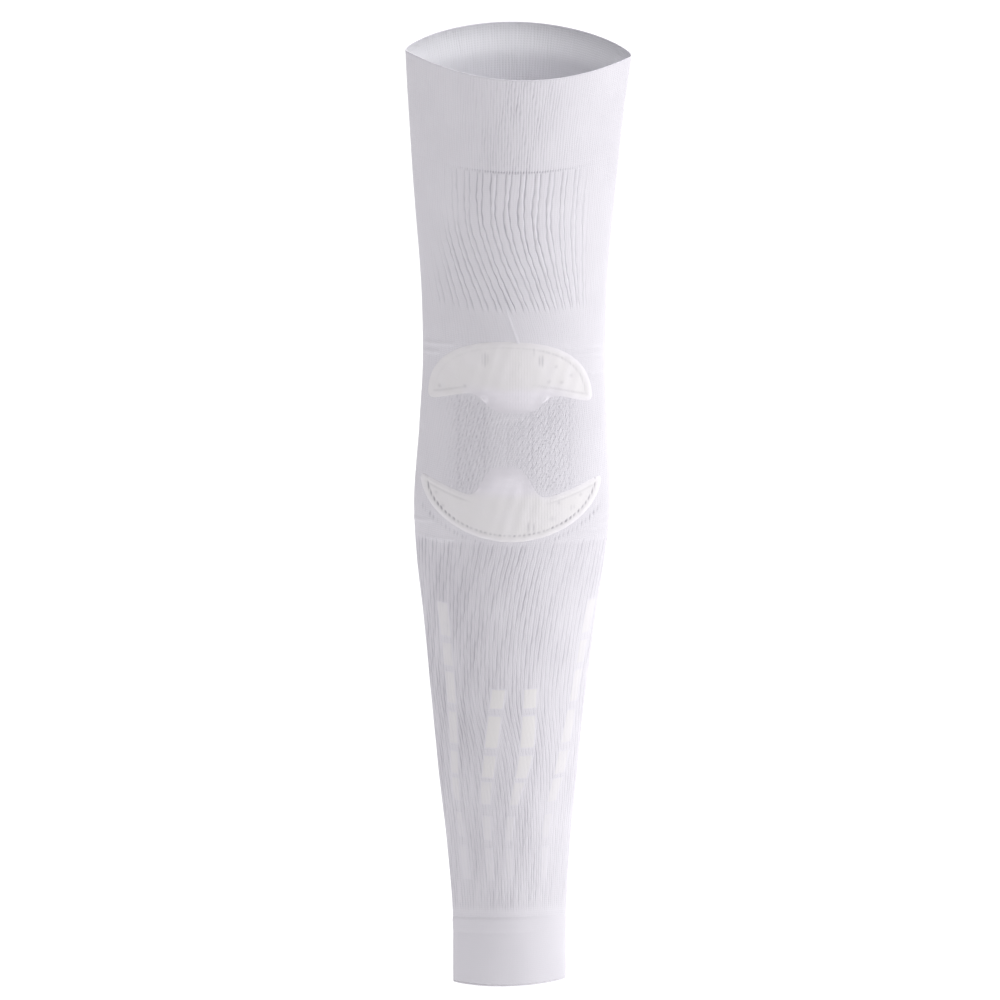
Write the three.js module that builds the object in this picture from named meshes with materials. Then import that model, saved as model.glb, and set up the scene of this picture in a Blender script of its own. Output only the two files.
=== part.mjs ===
// Arm compression sleeve: a knitted tube that narrows from the upper arm to the wrist, with a
// turned welt at its upper mouth, a smooth cuff at its lower one, a ribbed panel on the upper arm,
// two crescent pads that frame the elbow and four dashed grip strips along the forearm.
// Millimetres, +Z up the arm. The front of the sleeve looks towards -Y, and the origin is the
// middle of the elbow, on the arm's axis.

import * as THREE from "three";

// Heights above the elbow
const TOP_RIM = 171;
const WELT_HEM = 126;
const RIB_FOOT = 59;
const CUFF_HEM = -226;
const WRIST_RIM = -259;

// Thicknesses
const KNIT_WALL = 1.2;
const DOUBLE_WALL = 2.0; // the welt and the cuff are two layers of knit
const CUFF_STEP = 0.5; // the cuff stands this far out of the knit above it
const RIM_ROUND = 0.5; // rounding of a turned edge
const PIECE_GAP = 0.3;

// Cross-sections from the wrist up. width is from side fold to side fold, shift is how far the
// section's middle lies to the right, front and back are the depths from the line between the
// folds, and fullness is the exponent of the outline: 2 is an ellipse, less is a sharper fold. tilt
// is how far the course of knit there climbs to the right, per millimetre.
const SECTIONS = [
  { z: -259, width: 49.2, shift: -2.0, front: 7.0, back: 7.5, fullness: 1.65, tilt: 0.034 },
  { z: -226, width: 49.4, shift: -2.1, front: 8.2, back: 8.6, fullness: 1.65, tilt: 0.02 },
  { z: -194, width: 53.5, shift: -2.4, front: 10.4, back: 10.8, fullness: 1.65, tilt: 0.0 },
  { z: -159, width: 60.5, shift: -2.6, front: 13.0, back: 13.4, fullness: 1.65, tilt: 0.0 },
  { z: -124, width: 67.2, shift: -2.5, front: 15.5, back: 15.8, fullness: 1.65, tilt: 0.0 },
  { z: -89, width: 74.8, shift: -1.8, front: 17.8, back: 18.2, fullness: 1.65, tilt: 0.0 },
  { z: -60, width: 82.2, shift: -1.1, front: 19.6, back: 20.0, fullness: 1.65, tilt: 0.0 },
  { z: -37, width: 85.6, shift: -0.6, front: 20.4, back: 20.8, fullness: 1.65, tilt: -0.005 },
  { z: 0, width: 81.8, shift: 0.0, front: 20.0, back: 20.2, fullness: 1.68, tilt: -0.01 },
  { z: 26, width: 79.6, shift: 0.3, front: 20.0, back: 20.6, fullness: 1.7, tilt: -0.01 },
  { z: 55, width: 79.8, shift: 0.2, front: 21.2, back: 22.2, fullness: 1.72, tilt: -0.01 },
  { z: 101, width: 86.2, shift: 0.4, front: 26.0, back: 28.2, fullness: 1.78, tilt: -0.01 },
  { z: 126, width: 90.2, shift: 0.7, front: 29.0, back: 32.4, fullness: 1.82, tilt: -0.01 },
  { z: 151, width: 94.4, shift: 1.3, front: 32.2, back: 37.0, fullness: 1.85, tilt: -0.018 },
  { z: 171, width: 98.0, shift: 2.2, front: 35.0, back: 41.0, fullness: 1.85, tilt: -0.027 },
];

// Ribbed panel: lanes of one raised rib each, side by side across the front. Places across the
// front are shares of the half width, from -1 at the left fold to 1 at the right one.
const RIB_COUNT = 12;
const RIB_LANE = 0.13;
const RIB_LEFT = -0.915;
const RIB_SHARE = 0.62; // of a lane that the rib's crest takes
const RIB_SLOPE = 0.1; // of a lane that each side of the rib takes
const RIB_HEIGHT = 0.7;
const RIB_FADE = { full: 0.64, none: 0.8 }; // ribs die out towards the folds
// The ribs hang straight and then sway to the right, most of all left of the middle.
const SWAY = { most: 0.33, middle: -0.2, reach: 0.95, start: 0.42, power: 1.2 };

// Crescent pads, in millimetres from the elbow. middle and reach are the middle and the half length
// between the tips, tip the tips' height, crown the outer edge's at the middle and fullness its
// exponent, as above. waist is the inner edge's height at the middle before its tongue is added, and
// the tongue is how far that stands out there, with a middle and a half width of its own.
const PADS = [
  {
    name: "upper_crescent",
    middle: -1.5,
    reach: 35.6,
    tip: 14.4,
    crown: 42.3,
    fullness: 2.2,
    waist: 24.6,
    tongue: -10.4,
    tongueMiddle: 0.0,
    tongueReach: 14.0,
  },
  {
    name: "lower_crescent",
    middle: -1.1,
    reach: 38.8,
    tip: -22.9,
    crown: -45.5,
    fullness: 1.95,
    waist: -31.0,
    tongue: 15.8,
    tongueMiddle: -3.0,
    tongueReach: 11.6,
  },
];
const PAD_COLUMNS = 28;
const PAD_PLATE = 0.9;
const PAD_RIM = { width: 2.2, crest: 1.4, edge: 0.8, mostShare: 0.4 }; // of the pad's height
const PAD_TIP = 4.2; // height of the blunt tip

// Grip strips: each runs down the forearm as a line and is cut into dashes by rows that all strips
// share. top and foot are a row's heights.
const DASH_ROWS = [
  { top: -79, foot: -95.5 },
  { top: -98, foot: -109.2 },
  { top: -111.5, foot: -127 },
  { top: -130, foot: -146 },
  { top: -149, foot: -160.2 },
  { top: -161.6, foot: -173 },
  { top: -178, foot: -190 },
  { top: -193.5, foot: -209 },
];
// start is a strip's upper end. Its line is given from the wrist up: place is its middle across the
// front, as a share of the half width, and width its width.
const STRIPS = [
  {
    name: "outer_left",
    start: -79,
    line: [
      { z: -209, place: -0.71, width: 3.6 },
      { z: -172, place: -0.765, width: 3.4 },
      { z: -128, place: -0.73, width: 4.2 },
      { z: -79, place: -0.765, width: 5.2 },
    ],
  },
  {
    name: "inner_left",
    start: -117.5,
    line: [
      { z: -209, place: -0.3, width: 3.4 },
      { z: -186, place: -0.33, width: 3.8 },
      { z: -168, place: -0.325, width: 5.2 },
      { z: -154, place: -0.267, width: 6.0 },
      { z: -117.5, place: -0.12, width: 6.8 },
    ],
  },
  {
    name: "inner_right",
    start: -117.5,
    line: [
      { z: -209, place: 0.012, width: 2.8 },
      { z: -183, place: 0.022, width: 3.8 },
      { z: -167, place: 0.127, width: 5.0 },
      { z: -155, place: 0.22, width: 6.4 },
      { z: -117.5, place: 0.285, width: 6.4 },
    ],
  },
  {
    name: "outer_right",
    start: -79,
    line: [
      { z: -209, place: 0.585, width: 2.8 },
      { z: -183, place: 0.6, width: 3.8 },
      { z: -156, place: 0.75, width: 5.2 },
      { z: -124, place: 0.85, width: 3.8 },
      { z: -79, place: 0.92, width: 4.0 },
    ],
  },
];
const DASH_THICKNESS = 0.6;
const DASH_COLUMNS = 4;
const DASH_STATIONS = 3;

// Shape of the sleeve

const COLUMNS = ["width", "shift", "front", "back", "fullness", "tilt"];
const sectionCurve = new THREE.CubicInterpolant(
  SECTIONS.map((row) => row.z),
  SECTIONS.flatMap((row) => COLUMNS.map((column) => row[column])),
  COLUMNS.length,
);

function sectionAt(z) {
  const values = sectionCurve.evaluate(z);
  return Object.fromEntries(COLUMNS.map((column, i) => [column, values[i]]));
}

// A point of the skin: turn is 0 at the front, a quarter turn at the right fold and half a turn at
// the back, and lift is how far it stands out of the knit.
function skinPoint(turn, z, lift) {
  const { width, shift, front, back, fullness, tilt } = sectionAt(z);
  const across = Math.sin(turn);
  const along = Math.cos(turn);
  const x = shift + (width / 2 + lift) * Math.sign(across) * Math.abs(across) ** (2 / fullness);
  const depth = along > 0 ? -(front + lift) : back + lift;
  return new THREE.Vector3(x, depth * Math.abs(along) ** (2 / fullness), z + tilt * x);
}

// The turn of a place across the front.
function turnAt(place, z) {
  return Math.sign(place) * Math.asin(Math.abs(place) ** (sectionAt(z).fullness / 2));
}

function evenly(count, from, to) {
  return Array.from({ length: count }, (_, i) => from + ((to - from) * i) / (count - 1));
}

// A closed body through rings of points. The last ring joins the first one, or both are capped.
function bodyThrough(rings, joined) {
  const size = rings[0].length;
  const points = rings.flat();
  const faces = [];
  const spans = joined ? rings.length : rings.length - 1;
  for (let i = 0; i < spans; i++) {
    for (let j = 0; j < size; j++) {
      const a = i * size + j;
      const b = i * size + ((j + 1) % size);
      const c = ((i + 1) % rings.length) * size + ((j + 1) % size);
      const d = ((i + 1) % rings.length) * size + j;
      faces.push([a, b, c], [a, c, d]);
    }
  }
  if (!joined) {
    for (const [ring, outwards] of [
      [0, false],
      [rings.length - 1, true],
    ]) {
      const middle = points.length;
      points.push(new THREE.Box3().setFromPoints(rings[ring]).getCenter(new THREE.Vector3()));
      for (let j = 0; j < size; j++) {
        const a = ring * size + j;
        const b = ring * size + ((j + 1) % size);
        faces.push(outwards ? [a, b, middle] : [b, a, middle]);
      }
    }
  }
  const volume = faces.reduce((sum, [a, b, c]) => {
    return sum + points[a].dot(new THREE.Vector3().crossVectors(points[b], points[c])) / 6;
  }, 0);
  const outFaces = volume > 0 ? faces : faces.map(([a, b, c]) => [a, c, b]);
  const geometry = new THREE.BufferGeometry().setFromPoints(points);
  geometry.setIndex(outFaces.flat());
  geometry.computeVertexNormals();
  return geometry;
}

// Knitted body

const BACK_COLUMNS = 20;
const FLANK_COLUMNS = 6;
const RIB_ROWS = 10;
const RIB_RUN_OUT = 2; // height in which the ribs rise at the panel's upper and lower end
const PLAIN_ROWS = 13;
const LINING_ROWS = 12;
const BODY_TOP = WELT_HEM - PIECE_GAP / 2;
const BODY_FOOT = CUFF_HEM + PIECE_GAP / 2;

// Where a line of the ribbed panel, at a given lane, crosses a height.
function ribPlace(lane, z) {
  const drop = THREE.MathUtils.clamp((WELT_HEM - z) / (WELT_HEM - RIB_FOOT), 0, 1);
  const place = RIB_LEFT + lane * RIB_LANE;
  const bend = Math.max(0, (drop - SWAY.start) / (1 - SWAY.start)) ** SWAY.power;
  return place + SWAY.most * (1 - ((place - SWAY.middle) / SWAY.reach) ** 2) * bend;
}

// How far a rib stands out at a place: it dies out at the panel's ends and towards the folds.
function ribLift(place, z) {
  if (z >= BODY_TOP || z <= RIB_FOOT) return 0;
  const { full, none } = RIB_FADE;
  return RIB_HEIGHT * (1 - THREE.MathUtils.smoothstep(Math.abs(place), full, none));
}

// The turns and lifts round the body at one height: left flank, ribs, right flank, back.
function bodyColumns(z) {
  const ribs = [];
  for (let rib = 0; rib < RIB_COUNT; rib++) {
    const crest = [(1 - RIB_SHARE) / 2, (1 + RIB_SHARE) / 2];
    const lanes = [crest[0] - RIB_SLOPE, crest[0], crest[1], crest[1] + RIB_SLOPE];
    lanes.forEach((lane, i) => {
      const place = ribPlace(rib + lane, z);
      const crestHere = i === 1 || i === 2;
      ribs.push({ turn: turnAt(place, z), lift: crestHere ? ribLift(place, z) : 0 });
    });
  }
  const flat = (turn) => ({ turn, lift: 0 });
  const fold = Math.PI / 2;
  const left = evenly(FLANK_COLUMNS + 1, -fold, ribs[0].turn).slice(0, -1).map(flat);
  const right = evenly(FLANK_COLUMNS + 1, ribs.at(-1).turn, fold).slice(1).map(flat);
  const back = evenly(BACK_COLUMNS + 2, fold, 3 * fold).slice(1, -1).map(flat);
  return [...left, ...ribs, ...right, ...back];
}

function sleeveBody() {
  const heights = [
    BODY_TOP,
    ...evenly(RIB_ROWS, WELT_HEM - RIB_RUN_OUT, RIB_FOOT + RIB_RUN_OUT),
    ...evenly(PLAIN_ROWS, RIB_FOOT, BODY_FOOT),
  ];
  const outside = heights.map((z) => {
    return bodyColumns(z).map(({ turn, lift }) => skinPoint(turn, z, lift));
  });
  const lining = evenly(LINING_ROWS, BODY_FOOT, BODY_TOP).map((z) => {
    return bodyColumns(z).map(({ turn }) => skinPoint(turn, z, -KNIT_WALL));
  });
  return bodyThrough([...outside, ...lining], true);
}

// Welt and cuff: bands of double knit with rounded edges

const BAND_COLUMNS = 52;

function band({ low, high, step, rows }) {
  const outside = evenly(rows, low + RIM_ROUND, high - RIM_ROUND).map((z) => [z, step]);
  const inside = evenly(rows, high - RIM_ROUND, low + RIM_ROUND).map((z) => [z, step - DOUBLE_WALL]);
  const edge = (z) => [
    [z, step - RIM_ROUND],
    [z, step - DOUBLE_WALL + RIM_ROUND],
  ];
  const profile = [...outside, ...edge(high), ...inside, ...edge(low).toReversed()];
  const turns = evenly(BAND_COLUMNS + 1, 0, 2 * Math.PI).slice(0, -1);
  const rings = profile.map(([z, lift]) => turns.map((turn) => skinPoint(turn, z, lift)));
  return bodyThrough(rings, true);
}

// Crescent pads: a plate on the knit with a raised rim

// The heights of the pad's outer and inner edge at a share of its half length.
function padEdges(pad, share) {
  const arch = Math.max(0, 1 - Math.abs(share) ** pad.fullness) ** (1 / pad.fullness);
  const x = pad.middle + share * pad.reach;
  const tongue = pad.tongue * Math.exp(-(((x - pad.tongueMiddle) / pad.tongueReach) ** 6));
  const outer = pad.tip + (pad.crown - pad.tip) * arch;
  const inner = pad.tip + (pad.waist - pad.tip) * (1 - share ** 2) + tongue;
  const blunt = (PAD_TIP / 2) * Math.sign(pad.crown - pad.tip);
  return { outer: outer + blunt, inner: inner - blunt };
}

function crescentPad(pad) {
  const rings = evenly(PAD_COLUMNS, -Math.PI / 2, Math.PI / 2).map((angle) => {
    const share = Math.sin(angle);
    const { outer, inner } = padEdges(pad, share);
    const height = Math.abs(outer - inner);
    const up = Math.sign(outer - inner);
    const rim = Math.min(PAD_RIM.width, PAD_RIM.mostShare * height);
    const crest = PAD_PLATE + (PAD_RIM.crest - PAD_PLATE) * (rim / PAD_RIM.width);
    const profile = [
      { along: 0, lift: 0 },
      { along: 0, lift: PAD_RIM.edge },
      { along: rim / 2, lift: crest },
      { along: rim, lift: PAD_PLATE },
      { along: height - rim, lift: PAD_PLATE },
      { along: height - rim / 2, lift: crest },
      { along: height, lift: PAD_RIM.edge },
      { along: height, lift: 0 },
      { along: height / 2, lift: 0 },
    ];
    return profile.map(({ along, lift }) => {
      const z = inner + up * along;
      const { width, shift } = sectionAt(z);
      const place = (pad.middle + share * pad.reach - shift) / (width / 2);
      return skinPoint(turnAt(place, z), z, PIECE_GAP + lift);
    });
  });
  return bodyThrough(rings, false);
}

// Grip strip dashes: thin plates that follow the knit

function stripCurve(strip) {
  const heights = strip.line.map((row) => row.z);
  return new THREE.CubicInterpolant(heights, strip.line.flatMap((row) => [row.place, row.width]), 2);
}

function dash(curve, top, foot) {
  const rings = evenly(DASH_STATIONS, top, foot).map((z) => {
    const [place, width] = curve.evaluate(z);
    const half = width / sectionAt(z).width;
    const turns = evenly(DASH_COLUMNS, place - half, place + half).map((p) => turnAt(p, z));
    const low = turns.map((turn) => skinPoint(turn, z, PIECE_GAP));
    const high = turns.map((turn) => skinPoint(turn, z, PIECE_GAP + DASH_THICKNESS));
    return [...low, ...high.toReversed()];
  });
  return bodyThrough(rings, false);
}

// Assembly

const knit = new THREE.MeshStandardMaterial({ color: 0xe9e6ee, roughness: 0.9, metalness: 0 });
const silicone = new THREE.MeshStandardMaterial({ color: 0xebe9e4, roughness: 0.55, metalness: 0 });

const sleeve = new THREE.Group();

function addPiece(name, geometry, material) {
  const mesh = new THREE.Mesh(geometry, material);
  mesh.name = name;
  sleeve.add(mesh);
}

addPiece("sleeve_body", sleeveBody(), knit);
addPiece("upper_welt", band({ low: WELT_HEM + PIECE_GAP / 2, high: TOP_RIM, step: 0, rows: 4 }), knit);
addPiece(
  "wrist_cuff",
  band({ low: WRIST_RIM, high: CUFF_HEM - PIECE_GAP / 2, step: CUFF_STEP, rows: 3 }),
  knit,
);
for (const pad of PADS) addPiece(pad.name, crescentPad(pad), silicone);
for (const strip of STRIPS) {
  const curve = stripCurve(strip);
  const rows = DASH_ROWS.filter((row) => row.foot < strip.start);
  rows.forEach(({ top, foot }, i) => {
    addPiece(`dash_${strip.name}_${i + 1}`, dash(curve, Math.min(top, strip.start), foot), silicone);
  });
}

export default sleeve;
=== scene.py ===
# %% [markdown]
# # An arm compression sleeve
#
# The real sleeve is one seamless tube. A small round machine knits it with a few hundred needles
# and changes the stitch as it goes, so the same white yarn gives a smooth welt, a ribbed panel, a
# fine mesh over the elbow and narrow ribs down the forearm. Two crescent pads and four dashed
# strips of silicone are bonded on afterwards.
#
# The frame holds the solids at their real size. Each of them is replaced here by a finer surface
# in the same place, so nothing has to be fitted.

import bpy
import numpy as np
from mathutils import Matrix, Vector


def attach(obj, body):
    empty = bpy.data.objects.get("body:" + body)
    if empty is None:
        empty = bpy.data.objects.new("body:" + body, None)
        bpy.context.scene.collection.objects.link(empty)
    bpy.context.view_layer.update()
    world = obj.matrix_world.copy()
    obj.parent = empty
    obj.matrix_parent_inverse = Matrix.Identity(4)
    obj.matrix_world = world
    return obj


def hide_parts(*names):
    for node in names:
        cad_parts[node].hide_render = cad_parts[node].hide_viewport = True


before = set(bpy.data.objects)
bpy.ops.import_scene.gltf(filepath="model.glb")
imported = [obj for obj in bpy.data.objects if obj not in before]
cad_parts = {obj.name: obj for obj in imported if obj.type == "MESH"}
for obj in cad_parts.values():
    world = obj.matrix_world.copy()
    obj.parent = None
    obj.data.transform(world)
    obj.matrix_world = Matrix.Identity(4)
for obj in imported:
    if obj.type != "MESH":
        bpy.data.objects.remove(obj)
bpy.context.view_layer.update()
MM = 0.001  # the sizes below are in millimetres, and Blender's are in metres

# %% [markdown]
# ## The form of the tube
#
# A worn sleeve isn't round. It keeps a soft fold down each side, so its cross-section is a lens: two
# bows, one in front and one behind, that meet at the folds. The depth of a bow is a power of
# 1 - place squared, where place runs from -1 at one fold to 1 at the other. One half would give an
# ellipse and one a parabola with a sharp fold. Close to the folds the power goes over to one half,
# so cloth that is folded looks round and not cut. A short table holds the section at sixteen
# heights, and a smooth curve through each column gives it everywhere else. That is lighter than
# sculpting, and every piece that lies on the sleeve can ask the same function for its place.

# %% Cross-sections and the skin
TOP_RIM = 171.0
WELT_HEM = 126.0
PANEL_FOOT = 59.0
CUFF_HEM = -226.0
WRIST_RIM = -259.0
FOLD_ROUND = np.array([(-259, 0.5), (-60, 0.45), (59, 0.36), (171, 0.3)])  # z, cosine where a fold begins

# z, width, shift to the right, front and back depth, front and back power, climb to the right and to
# the front
SECTIONS = np.array(
    [
        (-259, 49.2, -1.6, 8.8, 6.6, 0.95, 0.73, 0.034, 0.0),
        (-226, 49.4, -1.7, 9.6, 7.6, 0.95, 0.73, 0.02, 0.25),
        (-194, 54.0, -2.2, 11.2, 10.2, 0.95, 0.73, 0.0, 0.0),
        (-159, 61.0, -2.4, 13.4, 13.0, 0.92, 0.73, 0.0, 0.0),
        (-124, 67.6, -2.3, 15.6, 15.7, 0.9, 0.73, 0.0, 0.0),
        (-89, 75.0, -1.7, 17.8, 18.2, 0.87, 0.73, 0.0, 0.0),
        (-60, 82.2, -1.1, 19.6, 20.0, 0.85, 0.73, 0.0, 0.0),
        (-37, 85.6, -0.6, 20.4, 20.8, 0.82, 0.73, -0.005, 0.0),
        (0, 81.8, 0.0, 20.0, 20.2, 0.77, 0.72, -0.01, 0.0),
        (26, 79.6, 0.3, 20.0, 20.6, 0.78, 0.71, -0.01, 0.0),
        (42, 79.5, 0.3, 21.3, 21.4, 0.82, 0.71, -0.01, 0.02),
        (59, 80.1, 0.2, 21.6, 22.6, 0.86, 0.71, -0.01, 0.04),
        (101, 86.2, 0.4, 26.0, 28.2, 0.92, 0.73, -0.01, 0.05),
        (126, 90.2, 0.7, 29.4, 32.4, 0.95, 0.75, -0.01, 0.05),
        (151, 94.4, 1.3, 33.2, 37.0, 0.98, 0.76, -0.018, 0.02),
        (171, 98.0, 2.2, 37.0, 41.0, 1.0, 0.76, -0.027, 0.0),
    ]
)


def through(x, table, column=1):
    """Smooth curve through a table: a cubic between two rows that leaves and meets them at the
    slope that the neighbouring rows give. Past the first and last row it stays level."""
    knots, values = table[:, 0], table[:, column]
    slopes = np.gradient(values, knots)
    x = np.clip(x, knots[0], knots[-1])
    i = np.clip(np.searchsorted(knots, x) - 1, 0, len(knots) - 2)
    span = knots[i + 1] - knots[i]
    t = (x - knots[i]) / span
    start = (1 + 2 * t) * values[i] + t * span * slopes[i]
    end = (3 - 2 * t) * values[i + 1] - (1 - t) * span * slopes[i + 1]
    return (1 - t) ** 2 * start + t**2 * end


def section_at(z):
    """Every column of the section table at heights z."""
    return [through(z, SECTIONS, column) for column in range(1, SECTIONS.shape[1])]


def bow(along, power, fold):
    """Share of the depth at a point of a bow, and how fast it grows with along, the cosine of the turn.
    The share is the cosine times a power of its square plus the square of the fold's rounding, which
    is the cosine to twice the power away from the fold and grows evenly close to it."""
    soft = along**2 + fold**2
    full = (1 + fold**2) ** (power - 0.5)
    growth = soft ** (power - 1.5) * (2 * power * along**2 + fold**2)
    return np.abs(along) * soft ** (power - 0.5) / full, growth / full


def skin(turn, z, lift=0.0):
    """Point of the sleeve. turn is 0 at the front, a quarter turn at the right fold and half a
    turn at the back. x is half the width times sin(turn), and y the depth times the bow's share.
    lift widens both. The height climbs with x by the tilt, and falls behind the front by the nod."""
    width, shift, front, back, front_power, back_power, tilt, nod = section_at(z)
    along = np.cos(turn)
    x = shift + (width / 2 + lift) * np.sin(turn)
    depth = np.where(along > 0, -(front + lift), back + lift)
    power = np.where(along > 0, front_power, back_power)
    y = depth * bow(along, power, through(z, FOLD_ROUND))[0]
    return np.stack([x, y, z + tilt * x - nod * (y + front)], axis=-1)


def outward(turn, z):
    """Direction straight out of the section: its tangent, half the width times the cosine by the depth
    times the bow's growth and the sine, turned by a right angle."""
    width, _, front, back, front_power, back_power = section_at(z)[:6]
    along = np.cos(turn)
    power = np.where(along > 0, front_power, back_power)
    growth = bow(along, power, through(z, FOLD_ROUND))[1]
    out_x = np.where(along > 0, front, back) * growth * np.sin(turn)
    out_y = -width / 2 * along
    size = np.hypot(out_x, out_y)
    return np.stack([out_x / size, out_y / size, np.zeros_like(size)], axis=-1)


def turn_at(x, z):
    """Turn of the point of the front that lies at x: its sine is the place between the folds."""
    width, shift = section_at(z)[:2]
    return np.arcsin(np.clip((x - shift) / (width / 2), -1, 1))


FINE_TURNS = np.linspace(-np.pi, np.pi, 1441)


def run_round(z):
    """Length round the section from the back to each of the fine turns, at one height."""
    steps = np.linalg.norm(np.diff(skin(FINE_TURNS, z), axis=0), axis=1)
    return np.concatenate([[0.0], np.cumsum(steps)])


def around(share, z):
    """Turns of points at given shares of the girth, -0.5 to 0.5 with the front at 0: the length
    round the section, read backwards."""
    run = run_round(z)
    return np.interp(share, run / run[-1] - 0.5, FINE_TURNS)


def girth_at(z):
    """Length once round the section at one height."""
    return run_round(z)[-1]


print("girth at the welt, elbow and wrist:", [round(girth_at(z)) for z in (TOP_RIM, 0.0, WRIST_RIM)], "mm")

# %% [markdown]
# ## How the wales lie
#
# A wale is one needle's column of stitches. The machine has 192 needles, so 192 wales run from the
# upper mouth to the wrist, closer together where the tube is narrow. They don't hang straight:
# under the ribbed panel they sway to the right, at the elbow they come back, and down the forearm
# they wander once more. A needle's share of the girth is therefore shifted by a smooth bump whose
# height depends on z. Relief that is worked out per needle then follows the lie of the cloth.

# %% Needles and their sway
WALES = 192
COLUMNS = 3 * WALES  # points round the tube, three to a wale
NEEDLES = np.arange(COLUMNS) / COLUMNS - 0.5
QUARTER = np.arange(WALES // 4 * 3) / COLUMNS
FRONT = np.arange(-WALES // 4 * 5, WALES // 4 * 5) / (5 * WALES)
FINE_NEEDLES = np.concatenate([QUARTER - 0.5, FRONT, QUARTER + 0.25])  # five to a wale in front

# z, shift as a share of the girth
PANEL_SWAY = np.array([
    (-50, 0.0), (-30, 0.015), (0, 0.05), (28, 0.088), (44, 0.088),
    (59, 0.068), (72, 0.042), (85, 0.017), (98, 0.0), (126, 0.0),
])
FOREARM_LEAN = np.array([
    (-226, 0.036), (-200, 0.033), (-160, 0.012), (-147, 0.0), (-138, -0.013), (-126, -0.03),
    (-110, -0.034), (-85, -0.027), (-65, -0.015), (-49, 0.0), (-30, 0.0),
])
PANEL_SWAY_MIDDLE, PANEL_SWAY_REACH = -0.05, 0.31
FOREARM_LEAN_REACH = 0.36
# Waves that unsettle the cloth: how many fit round the girth, negative ones leaning the other way,
# and their length up the arm in mm
WANDER_WAVES = ((5, 61.0), (-13, 47.0), (29, 37.0), (-43, 27.0), (67, 19.0))
JITTER_WAVES = ((53, 8.3), (-71, 5.9))
DENT_WAVES = ((2, 131.0), (-5, 83.0), (8, 57.0))
WIGGLE, JITTER, WELT_JITTER = 0.0026, 0.0009, 0.0004  # shares of the girth
DENT_DEPTH = 0.12


def hump(x, middle, reach):
    """Raised cosine: 1 at the middle, 0 at the reach and beyond, and smooth in between."""
    return np.cos(np.clip((x - middle) / reach, -1, 1) * np.pi / 2) ** 2


def ease(x, start, end):
    """Smooth step: 0 at start, 1 at end, and level at both."""
    t = np.clip((x - start) / (end - start), 0, 1)
    return t * t * (3 - 2 * t)


def bell(x, middle, half):
    """Bell curve: 1 at the middle, and about a third of that at half its width to each side."""
    return np.exp(-(((x - middle) / half) ** 2))


def comb(needle, count, power):
    """Cosine wave between 0 and 1 that fits round the girth count times. The power narrows its crests."""
    return (0.5 + 0.5 * np.cos(2 * np.pi * count * needle)) ** power


def wander(needle, z, waves=WANDER_WAVES, phase=0.0):
    """Slow unevenness between about -1 and 1: a sum of sine waves that close round the girth."""
    total = 0.0
    for k, (count, length) in enumerate(waves):
        total = total + np.sin(2 * np.pi * (count * needle + z / length) + 2.4 * k + phase)
    return total / len(waves)


def share_of(needle, z):
    """Where a needle's wale crosses a height, as a share of the girth."""
    sway = through(z, PANEL_SWAY) * hump(needle, PANEL_SWAY_MIDDLE, PANEL_SWAY_REACH)
    lean = through(z, FOREARM_LEAN) * hump(needle, 0.0, FOREARM_LEAN_REACH)
    jitter = JITTER + (WELT_JITTER - JITTER) * ease(z, WELT_HEM, WELT_HEM + 8)
    wiggle = WIGGLE * wander(needle, z) + jitter * wander(needle, z, JITTER_WAVES)
    return needle + sway + lean + wiggle * ease(np.abs(z - WELT_HEM), 1.0, 12.0)


def needle_at(turn, z):
    """The needle whose wale crosses one height at a turn: its share of the girth less its sway, which
    is found step by step because the sway depends on the needle."""
    run = run_round(z)
    share = np.interp(turn, FINE_TURNS, run / run[-1] - 0.5)
    needle = share
    for _ in range(5):
        needle = needle + share - share_of(needle, z)
    return needle


def dents(turn, z):
    """Slow dents of the whole wall, which everything that lies on it follows."""
    return DENT_DEPTH * wander(turn / (2 * np.pi), z, DENT_WAVES, phase=3.0)


print(WALES, "wales,", COLUMNS, "or", len(FINE_NEEDLES), "points round the tube")

# %% [markdown]
# ## The stitch zones as relief
#
# Each zone is low relief on the same tube: a number of millimetres that a point stands out of the
# skin or sinks into it. Ribs could be a bump texture, but then their outline and shadows would be
# missing at the folds, so they are real shape here. Every zone fades in and out by smooth steps,
# and one function adds them up. The pieces cut from it match where they meet.

# %% Relief of the ribbed panel
LANES = 36  # periods of the panel that would fit round the girth
LANE_START = -26 / COLUMNS  # a groove of the panel, near the front's middle
NARROW_SHARE = 0.375  # of a lane that the narrow rib takes
GROOVE_HALF = 0.047  # of a lane
GROOVE_DEPTH = 0.35
NARROW_HEIGHT = 0.2
WIDE_HEIGHT = 0.07
PANEL_LEFT = np.array([(59, -37.0), (80, -35.0), (100, -31.0), (126, -30.5)])  # z, x
PANEL_RIGHT = 31.5
PANEL_LOW = (0.25, 0.45)  # of the height that the stretch takes away on the left and the right


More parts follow.
